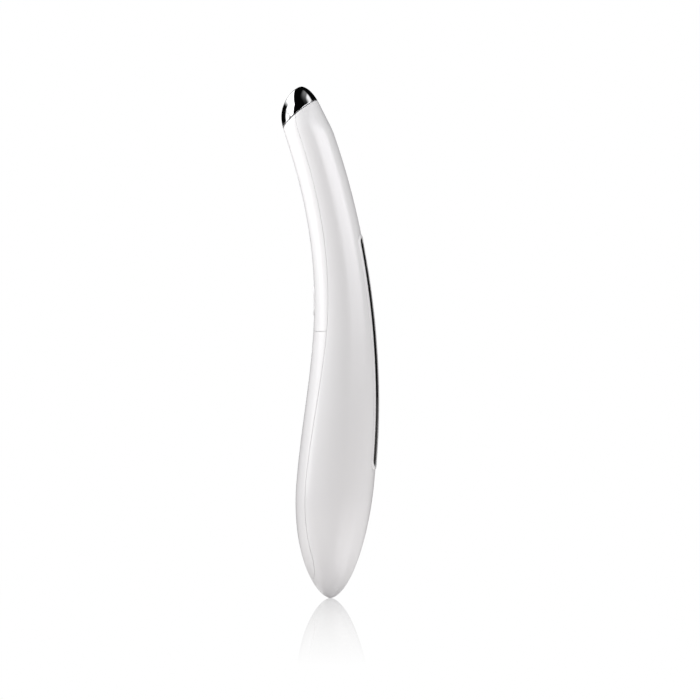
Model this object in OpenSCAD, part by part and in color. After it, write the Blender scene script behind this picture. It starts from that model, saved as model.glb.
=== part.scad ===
// Heated eye massager wand: a curved, battery-powered handle with a heated, vibrating metal head.
// It stands as it is photographed, tail down. +Z runs up to the head, +X is the convex back
// that holds the dark strip, and -X is the hollow front with the button and the battery cover.

/* [Body] */
// Overall height, from the tail's tip to the top of the head
wand_h = 165; // [158:1:180]
// Thickness of the bulge, front to back
bulge_depth = 25.1; // [24.4:0.1:28]
// Width of the bulge, side to side
bulge_width = 24.4; // [23.8:0.1:28]
// Height of the thickest place
bulge_z = 40; // [38:0.5:48]
// Length over which the bulge thins into the neck
bulge_fade = 51; // [48:0.5:62]
// Thickness of the neck, front to back
neck_depth = 15.8; // [15.6:0.1:19]
// Width of the neck, side to side
neck_width = 15.4; // [15.2:0.1:19]
// Length over which the tail closes
tail_round = 38; // [34:0.5:40]
// How pointed the tail is, where 0.5 is a plain ellipse
tail_point = 0.58; // [0.5:0.01:0.6]
// Length over which the head closes
head_round = 16; // [14:0.5:17]
// How pointed the head is, where 0.5 is a plain ellipse
head_point = 0.6; // [0.5:0.01:0.64]
// Thickness of the moulded walls
wall = 1.6; // [1.3:0.05:1.7]

/* [Bend] */
// Place of the tail's tip, from the middle of the overall depth
tail_x = 0.3; // [-2:0.1:2]
// Straight length of the middle line above the tail's tip
straight_l = 6; // [2:0.5:12]
// How far the middle line bows towards the back
bend_x = 4.6; // [3.8:0.1:5.2]
// Height of the bow's crest
bend_z = 83.5; // [80:0.5:86]
// How far the neck leans to the front, from the bow's crest to the brow
neck_lean = 12.8; // [11:0.1:14]
// Distance from the brow to the top of the head
brow_drop = 12; // [10.5:0.5:13]
// Length over which the middle line turns upright at the brow
brow = 7.2; // [5:0.1:9]

/* [Seams] */
// Depth of the seam behind the front line, on the bulge
seam_low = 5; // [4.6:0.1:5.6]
// Depth of the seam behind the front line, on the neck
seam_high = 6.2; // [5.6:0.1:6.8]
// Wall left between the button and the battery cover
cover_gap = 5; // [4:0.5:6]
// Height of the battery cover's lower end
cover_foot = 6; // [5:0.5:9]
// Height over which the battery cover's lower end rounds off
foot_round = 9; // [6:0.5:11]
// Gap left by each seam
seam_gap = 0.12; // [0.08:0.01:0.25]
// Thickness of the straight tongues that locate the covers
tongue_t = 1; // [0.8:0.1:1.2]
// Height of each tongue
tongue_h = 6; // [4:0.5:7]
// How far the tongues reach past the seam
tongue_reach = 2.2; // [1.5:0.1:2.4]
// Distance from the battery cover's upper end to the middle of its upper tongues
tongue_in = 12; // [9:0.5:14]

/* [Head] */
// Slant of the head's rim
rim_tilt = 40; // [36:1:42]
// Distance from the middle of the rim to the top of the head
rim_drop = 8.9; // [8.4:0.1:9.4]
// Gap between the rim and the shells
rim_gap = 0.2; // [0.1:0.05:0.3]
// Radius of the head's bore, which holds the heater
bore_r = 3.5; // [3.2:0.1:3.6]
// Depth of the bore above the rim
bore_up = 3.4; // [3.2:0.1:3.8]
// Wall of the skirt below the rim
skirt_t = 0.8; // [0.7:0.05:0.85]
// Length of the skirt below the rim
skirt_l = 4; // [3.5:0.1:4.2]
// Thickness of the soft pad over the heater
pad_t = 0.5; // [0.3:0.1:0.7]
// Thickness of the ceramic heater
heater_t = 1.2; // [0.8:0.1:1.3]
// Radius of the temperature sensor
sensor_r = 0.7; // [0.5:0.05:0.8]
// Thickness of the rubber seal below the head
seal_t = 0.6; // [0.4:0.05:0.7]
// Width of the rubber seal, in from its outer edge
seal_w = 0.5; // [0.4:0.05:0.7]
// How far the middle of the slanted rim lies in front of the middle line
rim_shift = 0.5; // [0.3:0.1:0.7]

/* [Strip] */
// Height of the dark strip's lower end
strip_z = 42.5; // [40:0.5:46]
// Length of the dark strip
strip_l = 73.5; // [66:0.5:76]
// Width of the dark strip at its lower end
strip_w = 5.4; // [4.8:0.1:6]
// Width of the dark strip at its upper end
strip_top_w = 4.4; // [3.8:0.1:4.8]
// Thickness of the dark strip
strip_t = 0.7; // [0.5:0.05:0.8]
// Width of the raised frame round the strip
frame_w = 1.1; // [0.8:0.1:1.4]
// How far the frame stands out of the skin
frame_proud = 0.3; // [0.2:0.05:0.4]

/* [Button] */
// Distance from the board's lower end to the middle of the switch and its button
switch_up = 14; // [13:0.5:15]
// Length of the button
button_l = 10; // [9:0.1:10.4]
// Width of the button
button_w = 5; // [4.4:0.1:5.6]
// How far the button stands out of the front
button_proud = 0.35; // [0.2:0.05:0.6]
// How far the button travels
button_travel = 0.3; // [0.2:0.05:0.4]
// Gap all round the button
button_gap = 0.15; // [0.1:0.01:0.25]
// How far the button's flange reaches past it inside
flange_w = 0.8; // [0.6:0.05:0.9]
// Thickness of the button's flange
flange_t = 0.8; // [0.6:0.05:1]

/* [Battery] */
// Diameter of the dry cell
cell_d = 10.5; // [10:0.1:10.8]
// Length of the dry cell, with its nub
cell_l = 44.5; // [42:0.5:45]
// Height of the dry cell's lower end
cell_z = 20.5; // [20:0.5:21.5]
// Place of the dry cell's axis, front to back
cell_x = 1.3; // [1:0.1:1.6]
// Room left round the dry cell
cell_room = 0.25; // [0.15:0.05:0.35]
// Diameter of the dry cell's nub
nub_d = 3.8; // [3.4:0.1:5]
// Height of the dry cell's nub
nub_h = 0.8; // [0.6:0.1:1.2]
// Wall of the battery tray
tray_t = 1.2; // [1:0.05:1.3]
// Thickness of the battery tray's floor
floor_t = 2.2; // [2.1:0.05:2.3]
// How far the tray's walls reach in front of the cell's axis
tray_lip = 1.5; // [0.5:0.1:1.8]
// Number of ribs between the tray's two ends
tray_ribs = 3; // [2:1:4]
// Thickness of the battery contacts
contact_t = 0.4; // [0.3:0.05:0.5]
// Distance from each end of the cell to the nearest tray screw
tray_screw_in = 8.5; // [7:0.5:10]
// Length of the battery spring
spring_l = 4; // [3.5:0.1:4.4]
// Diameter of the battery spring's wire
spring_wire = 0.6; // [0.4:0.05:0.7]
// Radius of the battery spring's turns
spring_r = 2.6; // [2.2:0.1:3]
// Number of turns of the battery spring
spring_turns = 3.5; // [3:0.5:4]
// Side of the square plates of both contacts
contact_w = 7; // [6:0.5:8]
// Width of the nub contact's tab
tab_w = 2; // [1.5:0.1:2.5]
// How far the nub contact's tab stands out of the tray
tab_out = 2.4; // [1.5:0.1:3]
// Height of the spring contact's tab, which stands in the groove
tab_l = 4; // [3.5:0.5:4.5]

/* [Motor] */
// Distance from the middle of the motor to the top of the head
motor_drop = 37; // [36:0.5:38]
// Diameter of the motor
motor_d = 6; // [5.4:0.1:6.1]
// Length of the motor's can
motor_l = 10; // [9:0.5:10.5]
// Thickness of the motor's can
can_t = 0.4; // [0.3:0.05:0.5]
// Thickness of the motor's end cap
cap_t = 1.5; // [1.2:0.1:1.8]
// Diameter of the motor's shaft
shaft_d = 1; // [0.8:0.1:1.2]
// Wall of the bush round the shaft
bush_t = 0.6; // [0.4:0.05:0.7]
// Length of the bush
bush_l = 1.6; // [1.2:0.1:2]
// How far the bush stands out of the can
bush_up = 0.4; // [0.3:0.05:0.6]
// Gap inside the can round the rotor
rotor_gap = 0.4; // [0.3:0.05:0.5]
// Gap between the bush and the swinging weight
weight_gap = 0.4; // [0.3:0.05:0.6]
// Running clearance round the shaft, at the radius
shaft_play = 0.03; // [0.02:0.01:0.06]
// Radius of the swinging weight
weight_r = 2.8; // [2.4:0.1:3]
// Length of the swinging weight
weight_l = 4; // [3:0.1:4.2]
// Thickness of the rubber sleeve round the motor
sleeve_t = 1; // [0.8:0.05:1.1]
// Length of the rubber sleeve
sleeve_l = 8; // [7:0.5:9]
// Thickness of the ribs that hold the sleeve
rib_t = 1.2; // [1:0.05:1.5]
// Distance between the outer faces of the two ribs
rib_span = 7; // [6:0.5:7.5]

/* [Circuit board] */
// Distance from the front skin at the button to the board
board_depth = 7; // [6.8:0.1:7.4]
// Thickness of the board
board_t = 1; // [0.8:0.1:1.2]
// Width of the board
board_w = 9.8; // [9.2:0.1:10]
// Length of the board
board_l = 33; // [32:0.5:36]
// Share of the free length between tray and motor that lies below the board
board_share = 0.7; // [0.5:0.05:0.8]
// Distance from each end of the board to its nearest screw
board_screw_in = 3; // [2.6:0.1:4]
// Side of the square push switch
switch_w = 4.5; // [4:0.1:5]
// Height of the push switch
switch_h = 2.2; // [2:0.1:2.5]
// Diameter of the switch's plunger
plunger_d = 2; // [1.6:0.1:2.4]
// How far the plunger stands out of the switch
plunger_h = 1; // [0.8:0.1:1.2]
// How far the plunger reaches into the switch
plunger_in = 0.6; // [0.4:0.1:0.8]
// Width of the controller chip
chip_w = 4; // [3.5:0.1:4.5]
// Length of the controller chip
chip_l = 5; // [4:0.1:5.5]
// Height of the controller chip
chip_h = 1.2; // [1:0.1:1.5]
// Diameter of the coil that raises the voltage
coil_d = 3.6; // [3:0.1:4]
// Height of the coil
coil_h = 1.8; // [1.4:0.1:2]
// Width of each small capacitor
cap_w = 1; // [0.8:0.1:1.2]
// Length of each small capacitor
cap_l = 2; // [1.6:0.1:2.4]
// Height of each small capacitor
cap_h = 0.8; // [0.6:0.1:1]
// Distance from one capacitor to the next
cap_pitch = 3; // [2.6:0.1:3.4]

/* [Fasteners and wires] */
// Thread diameter of the screws
screw_d = 2; // [1.6:0.1:2.2]
// Head diameter of the screws
screw_head_d = 3.6; // [3:0.1:3.8]
// Head height of the screws
screw_head_h = 1.3; // [1:0.05:1.4]
// Length of the board's screws
board_screw_l = 5; // [4:0.5:6]
// Diameter of the bosses for the screws
boss_d = 4.2; // [4:0.1:4.6]
// Plastic left outside a tray screw's point
skin_min = 0.9; // [0.7:0.05:1]
// Outer diameter of the insulated wires
wire_d = 0.8; // [0.6:0.05:0.9]
// Clearance between fixed pieces that fit together
fit = 0.1; // [0.05:0.01:0.15]

/* [Hidden] */

sides = 32;   // facets round the body
rings = 40;   // rings along the body, closer together at its two ends
tip = 0.05;   // height of the flat facet at each end
least_r = 0.3;   // a ring narrower than this is left out
far = wand_h / 2;   // past the body on every side

brow_z = wand_h - brow_drop;
rim_z = wand_h - rim_drop;
motor_z = wand_h - motor_drop;

// The row of things inside, from the tail up: cell in its tray, board, motor
bay_low = cell_z - spring_l - contact_t;
bay_high = cell_z + cell_l + contact_t;
tray_low = bay_low - tray_t;
tray_high = bay_high + tray_t;
can_low = -motor_l / 2;
can_high = motor_l / 2;
board_room = motor_z + can_low - cap_t - tray_high - board_l;
board_z = tray_high + board_share * board_room;
button_z = board_z + switch_up;
cover_top = button_z - button_l / 2 - cover_gap;

// ---- The body's form: level ellipses on a bent middle line ----

function rise(z) = bend_x * (1 - cos(180 * max(z - straight_l, 0) / (bend_z - straight_l))) / 2;
function arch(z) = bend_x - neck_lean * pow((z - bend_z) / (brow_z - bend_z), 2);
function turn(u) = -2 * neck_lean / (brow_z - bend_z) * (u - u * u / (2 * brow));
function spine(z) = tail_x +
  (z < bend_z ? rise(z) : z < brow_z ? arch(z) : arch(brow_z) + turn(min(z - brow_z, brow)));
function lean(z) = atan(2 * neck_lean * (z - bend_z) / pow(brow_z - bend_z, 2));

function tail_close(z) = z >= tail_round ? 1 : pow(max(0, 1 - pow(1 - z / tail_round, 2)), tail_point);
function head_close(z) = let (u = (wand_h - z) / head_round)
  u >= 1 ? 1 : pow(max(0, 1 - pow(1 - u, 2)), head_point);
function swell(z) = z <= bulge_z ? 1 : exp(-pow((z - bulge_z) / bulge_fade, 2));
function half(z, big, small) = (small + (big - small) * swell(z)) / 2 * tail_close(z) * head_close(z);

// An inset surface lies that far inside the skin, measured square to it
function slant(z, big, small) = let (lo = max(z - tip, tip / 2), hi = min(z + tip, wand_h - tip / 2))
  sqrt(1 + pow((half(hi, big, small) - half(lo, big, small)) / (hi - lo), 2));
function inset_half(z, big, small, inset) = half(z, big, small) - inset * slant(z, big, small);
function depth_r(z, inset = 0) = inset_half(z, bulge_depth, neck_depth, inset);
function width_r(z, inset = 0) = inset_half(z, bulge_width, neck_width, inset);
function front_x(z, inset = 0) = spine(z) - depth_r(z, inset);
function back_x(z, inset = 0) = spine(z) + depth_r(z, inset);
function side_y(z, x, inset = 0) =
  width_r(z, inset) * sqrt(max(0, 1 - pow((x - spine(z)) / depth_r(z, inset), 2)));

function levels(z0, z1) = concat([z0], [for (i = [1 : rings - 1])
  let (z = wand_h * (1 - cos(180 * i / rings)) / 2) if (z > z0 + least_r && z < z1 - least_r) z], [z1]);
function ring(z, inset, t0, t1) = let (round_trip = t1 - t0 >= 360, n = round(sides * (t1 - t0) / 360))
  concat(round_trip ? [] : [[spine(z), 0, z]], [for (i = [0 : round_trip ? n - 1 : n])
    let (t = t0 + 360 * i / sides) [spine(z) + depth_r(z, inset) * cos(t), width_r(z, inset) * sin(t), z]]);

// A closed skin through loops that have as many points each
module loft(loops) {
  n = len(loops[0]);
  m = len(loops);
  sides_of_loft = [for (j = [0 : m - 2], i = [0 : n - 1]) let (k = (i + 1) % n)
    each [[j * n + i, (j + 1) * n + i, (j + 1) * n + k], [j * n + i, (j + 1) * n + k, j * n + k]]];
  ends = [[for (i = [0 : n - 1]) i], [for (i = [n - 1 : -1 : 0]) (m - 1) * n + i]];
  polyhedron([for (l = loops) each l], concat(sides_of_loft, ends), convexity = 6);
}

// The body's form between two heights, inset from its skin, all round or as a wedge from t0 to t1
module form(inset = 0, z0 = tip, z1 = wand_h - tip, t0 = 0, t1 = 360) {
  loft([for (z = levels(max(z0, tip), min(z1, wand_h - tip)))
    if (depth_r(z, inset) > least_r && width_r(z, inset) > least_r) ring(z, inset, t0, t1)]);
}

// ---- Seams and frames that several pieces share ----

function blend_up(z) = min(max((z - bulge_z) / (cover_top - bulge_z), 0), 1);
function seam_depth(z) = seam_low + (seam_high - seam_low) * blend_up(z);
function foot_cut(z) = z >= cover_foot + foot_round ? 1 : sqrt(1 - pow(1 - (z - cover_foot) / foot_round, 2));
function seam_x(z) = front_x(z) + seam_depth(z) * foot_cut(z);

// Everything in front of the seam, moved back by gap
module front_side(gap) {
  zs = levels(cover_foot, wand_h - tip);
  rotate([90, 0, 0])
    linear_extrude(far, center = true)
      polygon(concat([for (z = zs) [seam_x(z) + gap, z]], [[-far, wand_h - tip], [-far, cover_foot]]));
}

module slab(z0, z1) translate([-far, -far, z0]) cube([2 * far, 2 * far, z1 - z0]);

// The head's frame: origin in the middle of the rim, +Z out of the head
head_x = spine(rim_z) - rim_shift;
module at_head() translate([head_x, 0, rim_z]) rotate([0, -rim_tilt, 0]) children();
function head_point_at(p) = [head_x + p.x * cos(rim_tilt) - p.z * sin(rim_tilt), p.y,
  rim_z + p.x * sin(rim_tilt) + p.z * cos(rim_tilt)];

// The motor's frame: origin in the middle of its can, +Z along the shaft
motor_tilt = lean(motor_z);
module at_motor() translate([spine(motor_z), 0, motor_z]) rotate([0, -motor_tilt, 0]) children();
function motor_point_at(p) = [spine(motor_z) + p.x * cos(motor_tilt) - p.z * sin(motor_tilt), p.y,
  motor_z + p.x * sin(motor_tilt) + p.z * cos(motor_tilt)];

// A round or square prism along X, from x0 to x1
module peg(x0, x1, d) translate([x0, 0, 0]) rotate([0, 90, 0]) cylinder(d = d, h = x1 - x0, $fn = 48);
module oblong(x0, x1, w, l) {
  translate([x0, 0, 0]) rotate([90, 0, 90]) linear_extrude(x1 - x0) {
    square([w, l - w], center = true);
    for (s = [-1, 1]) translate([0, s * (l - w) / 2]) circle(d = w, $fn = 48);
  }
}
module plate(x0, x1, w, l) translate([x0, -w / 2, -l / 2]) cube([x1 - x0, w, l]);

// An insulated wire through its points, with its end faces square to it
wire_sides = 8;
wire_steps = 3;
function spline(a, b, c, d, u) =
  0.5 * (2 * b + (c - a) * u + (2 * a - 5 * b + 4 * c - d) * u * u + (3 * b - a - 3 * c + d) * u * u * u);
function smooth(p) = let (n = len(p)) concat([for (i = [0 : n - 2], j = [0 : wire_steps - 1])
  spline(p[max(i - 1, 0)], p[i], p[i + 1], p[min(i + 2, n - 1)], j / wire_steps)], [p[n - 1]]);
function unit(v) = v / norm(v);
function tube_loops(p, d, n) = [for (i = [0 : len(p) - 1])
  let (t = unit(p[min(i + 1, len(p) - 1)] - p[max(i - 1, 0)]), u = unit(cross([0, 1, 0], t)), v = cross(t, u))
  [for (j = [0 : n - 1]) p[i] + d / 2 * (cos(360 * j / n) * u + sin(360 * j / n) * v)]];
module wire(points) loft(tube_loops(smooth(points), wire_d, wire_sides));

// ---- Shells and covers ----

module shell(z0, z1) {
  difference() {
    form(0, z0, z1);
    form(wall, z0 - wall, z1 + wall);
    at_head() translate([0, 0, -rim_gap / 2]) slab(0, far);
  }
}

// Straight tongues on both sides, which slide inside the back shell's walls
module tongues(heights) {
  for (z = heights, s = [-1, 1]) {
    lo = z - tongue_h / 2;
    hi = z + tongue_h / 2;
    x = max(seam_x(lo), seam_x(hi));
    y = min(side_y(lo, seam_x(lo), wall), side_y(hi, seam_x(hi), wall)) - 2 * fit;
    root = max(front_x(lo, wall / 2), front_x(hi, wall / 2), x - seam_low / 2);
    translate([root, s > 0 ? y - tongue_t : -y, lo]) cube([x - root + tongue_reach, tongue_t, tongue_h]);
  }
}
cover_tongues = [tail_round - tongue_h, cover_top - tongue_in];
front_tongues = [motor_z - rib_span / 2 - tongue_h, motor_z + rib_span / 2 + 1.5 * tongue_h];

// Ribs that hold the motor's sleeve, with a notch behind it for the heater's wires
sleeve_r = motor_d / 2 + fit / 2 + sleeve_t;
wire_lane = sleeve_r + fit + wire_d;   // how far behind the shaft the heater's wires run
lane_w = 3.5 * wire_d;
sleeve_mid = -sleeve_l / 20;   // the sleeve and its ribs sit a little below the motor's middle
rib_at = [sleeve_mid - rib_span / 2, sleeve_mid + rib_span / 2 - rib_t];
module motor_ribs() {
  intersection() {
    form(wall / 2, motor_z - motor_l, motor_z + motor_l);
    at_motor() difference() {
      for (w = rib_at) slab(w, w + rib_t);
      translate([0, 0, -motor_l]) cylinder(r = sleeve_r + fit, h = 2 * motor_l, $fn = 64);
      translate([0, -lane_w / 2, -motor_l]) cube([far, lane_w, 2 * motor_l]);
    }
  }
}

// A screw boss on the back shell's inner wall
module boss(x0, z) translate([0, 0, z]) peg(x0, back_x(z, wall / 2), boss_d);

// A prism along X over the strip, wider than the strip by grow all round
strip_x = back_x(strip_z + strip_l) - 2 * wall;   // a plane in front of the whole strip
module over_strip(grow) {
  low_r = strip_w / 2 + grow;
  top_r = strip_top_w / 2 + grow;
  low_z = strip_z + strip_w / 2;
  top_z = strip_z + strip_l - strip_top_w / 2;
  translate([strip_x, 0, 0]) rotate([90, 0, 90]) linear_extrude(far) {
    polygon([[-low_r, low_z], [low_r, low_z], [top_r, top_z], [-top_r, top_z]]);
    translate([0, low_z]) circle(r = low_r, $fn = 64);
    translate([0, top_z]) circle(r = top_r, $fn = 64);
  }
}
module strip_skin(inset, t = 67.5) form(inset, strip_z - strip_w, strip_z + strip_l + strip_w, -t, t);

module back_shell() color("white") {
  difference() {
    union() {
      shell(tip, wand_h - tip);
      difference() {
        intersection() {
          strip_skin(-frame_proud);
          over_strip(frame_w);
        }
        strip_skin(wall / 2, 90);
      }
      motor_ribs();
      for (z = tray_screw_z) boss(tray_back_x + fit, z);
      for (z = board_screw_z) boss(board_x + board_t, z);
    }
    front_side(0);
    difference() {
      over_strip(fit / 2);
      strip_skin(strip_t + fit / 2, 90);
    }
    for (z = tray_screw_z) translate([0, 0, z])
      peg(tray_back_x, tray_seat_x + tray_screw_l + fit, screw_d + fit);
    for (z = board_screw_z) translate([0, 0, z])
      peg(board_x, board_x + board_screw_l + fit, screw_d + fit);
  }
}

// The shells' front halves, between two heights
module front_half(z0, z1) intersection() {
  shell(z0, z1);
  front_side(-seam_gap);
}

module front_shell() color("white") {
  around = 2 * button_gap;
  difference() {
    union() {
      front_half(cover_top + seam_gap / 2, wand_h - tip);
      intersection() {
        motor_ribs();
        front_side(-seam_gap);
      }
      tongues(front_tongues);
    }
    translate([0, 0, button_z]) {
      oblong(front_x(button_z) - wall, flange_x + flange_t, button_w + around, button_l + around);
      oblong(flange_x - button_gap, board_x, flange_wide + around, flange_long + around);
    }
  }
}

module battery_cover() color("white") {
  front_half(cover_foot, cover_top - seam_gap / 2);
  tongues(cover_tongues);
}

module back_strip() color([0.13, 0.13, 0.14]) {
  difference() {
    intersection() {
      strip_skin(0);
      over_strip(0);
    }
    strip_skin(strip_t, 90);
  }
}

// ---- Head ----

module disc(w0, w1, r) at_head() translate([0, 0, w0]) cylinder(r = r, h = w1 - w0, $fn = 64);
skirt_r = bore_r + skirt_t;
seal_low = rim_gap / 2 - seal_t;
heater_low = bore_up - pad_t - heater_t;
holder_low = -skirt_l / 2;

module massage_head() color("silver") {
  difference() {
    union() {
      intersection() {
        form(0, rim_z - rim_drop, wand_h - tip);
        at_head() translate([0, 0, rim_gap / 2]) slab(0, far);
      }
      disc(-skirt_l, bore_up / 2, skirt_r);
    }
    disc(-skirt_l - fit, bore_up, bore_r);
  }
}

module head_seal() color("dimgray") {
  difference() {
    disc(seal_low, rim_gap / 2, skirt_r + fit / 2 + seal_w);
    disc(seal_low - fit, rim_gap, skirt_r + fit / 2);
  }
}

module head_collar() color("gainsboro") {
  difference() {
    intersection() {
      form(wall + fit, rim_z - 2 * rim_drop, wand_h - tip);
      at_head() slab(-skirt_l, seal_low);
    }
    disc(-skirt_l - fit, far, skirt_r + fit / 2);
  }
}

module thermal_pad() color("lightblue") disc(bore_up - pad_t, bore_up, bore_r - fit);
module heater() color("ivory") disc(heater_low, bore_up - pad_t, bore_r - 2 * fit);
module heat_sensor() color("saddlebrown") disc(heater_low - 2 * sensor_r, heater_low, sensor_r);
module heater_holder() color("dimgray") {
  difference() {
    disc(holder_low, heater_low, bore_r - fit);
    disc(heater_low - 2 * sensor_r - fit, heater_low + fit, sensor_r + fit);
  }
}

// ---- Motor ----

module turned(w0, w1, r) at_motor() translate([0, 0, w0]) cylinder(r = r, h = w1 - w0, $fn = 64);
bush_r = shaft_d / 2 + bush_t;
shaft_low = can_low - cap_t / 2;
weight_low = can_high + bush_up + weight_gap;
shaft_high = weight_low + weight_l + fit;

module motor_can() color("silver") {
  difference() {
    turned(can_low, can_high, motor_d / 2);
    turned(can_low - fit, can_high - can_t, motor_d / 2 - can_t);
    turned(can_low, can_high + fit, bush_r);
  }
}
module motor_cap() color("ivory") {
  difference() {
    turned(can_low - cap_t, can_low, motor_d / 2);
    turned(shaft_low - fit, can_low + fit, shaft_d / 2 + shaft_play);
  }
}
module motor_bush() color("peru") {
  difference() {
    turned(can_high - bush_l, can_high + bush_up, bush_r);
    turned(can_low, shaft_high, shaft_d / 2 + shaft_play);
  }
}
module motor_sleeve() color("dimgray") {
  difference() {
    turned(sleeve_mid - sleeve_l / 2, sleeve_mid + sleeve_l / 2, sleeve_r);
    turned(can_low, can_high, motor_d / 2 + fit / 2);
  }
}
module motor_shaft() color("silver") turned(shaft_low, shaft_high, shaft_d / 2);
module motor_rotor() color("chocolate") {
  difference() {
    turned(can_low + rotor_gap, can_high - bush_l - rotor_gap, motor_d / 2 - can_t - rotor_gap);
    turned(can_low, can_high, shaft_d / 2);
  }
}
module swinging_weight() color("dimgray") {
  difference() {
    turned(weight_low, weight_low + weight_l, weight_r);
    turned(can_low, shaft_high + fit, shaft_d / 2);
    at_motor() translate([-far, shaft_d, 0]) cube([2 * far, far, far]);
  }
}

// ---- Circuit board, switch and button ----

board_x = front_x(button_z) + board_depth;
board_screw_z = [board_z + board_screw_in, board_z + board_l - board_screw_in];
switch_x = board_x - switch_h;
plunger_x = switch_x - plunger_h;

module circuit_board() color("darkgreen") {
  difference() {
    translate([0, 0, board_z + board_l / 2]) plate(board_x, board_x + board_t, board_w, board_l);
    for (z = board_screw_z) translate([0, 0, z])
      peg(board_x - fit, board_x + board_t + fit, screw_d + 2 * fit);
  }
}
// A part soldered to the front of the board, its middle at y and z
module part(y, z, w, l, h) translate([0, y, z]) plate(board_x - h, board_x, w, l);
// The middle of the free stretch of board between the switch and a screw's head
function between(screw_z, side) = (button_z + side * switch_w / 2 + screw_z - side * screw_head_d / 2) / 2;
module controller_chip() color([0.12, 0.12, 0.12]) {
  part(0, between(board_screw_z[1], 1), chip_w, chip_l, chip_h);
}
module boost_coil() color("dimgray") {
  translate([0, 0, between(board_screw_z[0], -1)]) peg(board_x - coil_h, board_x, coil_d);
}
module board_capacitors() color("tan") {
  for (k = [-1, 0, 1])
    part(board_w / 2 - cap_w, between(board_screw_z[1], 1) + k * cap_pitch, cap_w, cap_l, cap_h);
}
module switch_body() color([0.2, 0.2, 0.2]) {
  difference() {
    part(0, button_z, switch_w, switch_w, switch_h);
    translate([0, 0, button_z])
      peg(switch_x - fit, switch_x + plunger_in + button_travel + fit, plunger_d + 2 * fit);
  }
}
module switch_plunger() color("ivory") {
  translate([0, 0, button_z]) peg(plunger_x, switch_x + plunger_in, plunger_d);
}
module board_screws() color("silver") {
  for (z = board_screw_z) translate([0, 0, z]) {
    peg(board_x - screw_head_h, board_x, screw_head_d);
    peg(board_x - screw_head_h / 2, board_x + board_screw_l, screw_d);
  }
}

// The button's face follows the skin, and its flange lies in a flat pocket behind the front wall
flange_x = front_x(button_z, wall) + button_gap;
flange_wide = button_w + 2 * flange_w;
flange_long = button_l + 2 * flange_w;
module power_button() color("whitesmoke") {
  intersection() {
    form(-button_proud, button_z - button_l, button_z + button_l, 90, 270);
    translate([0, 0, button_z]) oblong(front_x(button_z) - wall, flange_x + flange_t / 2, button_w, button_l);
  }
  translate([0, 0, button_z]) {
    oblong(flange_x, flange_x + flange_t, flange_wide, flange_long);
    peg(flange_x + flange_t / 2, plunger_x, plunger_d);
  }
}

// ---- Battery bay ----

bay_r = cell_d / 2 + cell_room;
tray_floor_x = cell_x + bay_r;
tray_back_x = tray_floor_x + floor_t;
tray_front_x = cell_x - tray_lip;
tray_screw_z = [cell_z + tray_screw_in, cell_z + cell_l - tray_screw_in];
tray_seat_x = tray_floor_x + screw_head_h + fit;
tray_screw_l = min([for (z = tray_screw_z) back_x(z)]) - skin_min - tray_seat_x;
groove_w = wire_d + contact_t + fit;
groove_y = boss_d / 2 + groove_w / 2 + 2 * fit;
groove_x = tray_back_x - groove_w / 2;

module across(z0, z1, w) translate([tray_front_x, -w / 2, z0]) cube([far, w, z1 - z0]);
module battery_tray() color("gainsboro") {
  difference() {
    intersection() {
      form(wall + fit, tray_low - wall, tray_high + wall);
      union() {
        translate([tray_front_x, -bay_r - tray_t, tray_low])
          cube([tray_back_x - tray_front_x, 2 * (bay_r + tray_t), tray_high - tray_low]);
        for (i = [0 : tray_ribs + 1]) {
          z = tray_low + (tray_high - tray_low - tray_t) * i / (tray_ribs + 1);
          across(z, z + tray_t, 2 * far);
        }
      }
    }
    translate([cell_x, 0, bay_low]) cylinder(r = bay_r, h = bay_high - bay_low, $fn = 96);
    translate([-far, -bay_r, bay_low]) cube([far + cell_x, 2 * bay_r, bay_high - bay_low]);
    for (z = tray_screw_z) translate([0, 0, z]) {
      peg(cell_x, tray_seat_x, screw_head_d + 2 * fit);
      peg(cell_x, tray_back_x + fit, screw_d + 2 * fit);
      peg(tray_back_x, far, boss_d + 2 * fit);
    }
    // The groove for the long lead, and the slots for the two contacts' tabs
    translate([groove_x - groove_w / 2, groove_y - groove_w / 2, tray_low - fit])
      cube([groove_w, groove_w, tray_high - tray_low + 2 * fit]);
    translate([cell_x, groove_y - groove_w / 2, bay_low])
      cube([groove_x - cell_x, groove_w, contact_t + fit]);
    translate([tab_x - fit, groove_y - groove_w / 2, bay_low])
      cube([groove_w, groove_w, tab_l + fit]);
    translate([cell_x - fit, -tab_w / 2 - fit, bay_high - fit])
      cube([contact_t + 2 * fit, tab_w + 2 * fit, 2 * tray_t]);
  }
}

tab_x = groove_x - wire_d / 2 - fit - contact_t;
module battery_cell() color("steelblue") translate([cell_x, 0, cell_z]) {
  cylinder(d = cell_d, h = cell_l - nub_h, $fn = 96);
  cylinder(d = nub_d, h = cell_l, $fn = 48);
}
module positive_contact() color("silver") {
  translate([cell_x - contact_w / 2, -contact_w / 2, bay_high - contact_t])
    cube([contact_w, contact_w, contact_t]);
  translate([cell_x, -tab_w / 2, bay_high - contact_t])
    cube([contact_t, tab_w, tray_t + tab_out]);
}
module negative_contact() color("silver") {
  translate([cell_x - contact_w / 2, -contact_w / 2, bay_low])
    cube([contact_w, contact_w, contact_t]);
  translate([cell_x, groove_y - wire_d / 2, bay_low])
    cube([tab_x + contact_t - cell_x, wire_d, contact_t]);
  translate([tab_x, groove_y - wire_d / 2, bay_low])
    cube([contact_t, wire_d, tab_l]);
}
module battery_spring() color("silver") {
  steps = 14;   // rings in each turn
  low = bay_low + contact_t + (spring_wire + fit) / 2;
  travel = spring_l - spring_wire - fit;
  route = [for (i = [0 : spring_turns * steps]) let (t = 360 * i / steps)
    [cell_x + spring_r * cos(t), spring_r * sin(t), low + travel * i / (spring_turns * steps)]];
  loft(tube_loops(route, spring_wire, 6));
}
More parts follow.
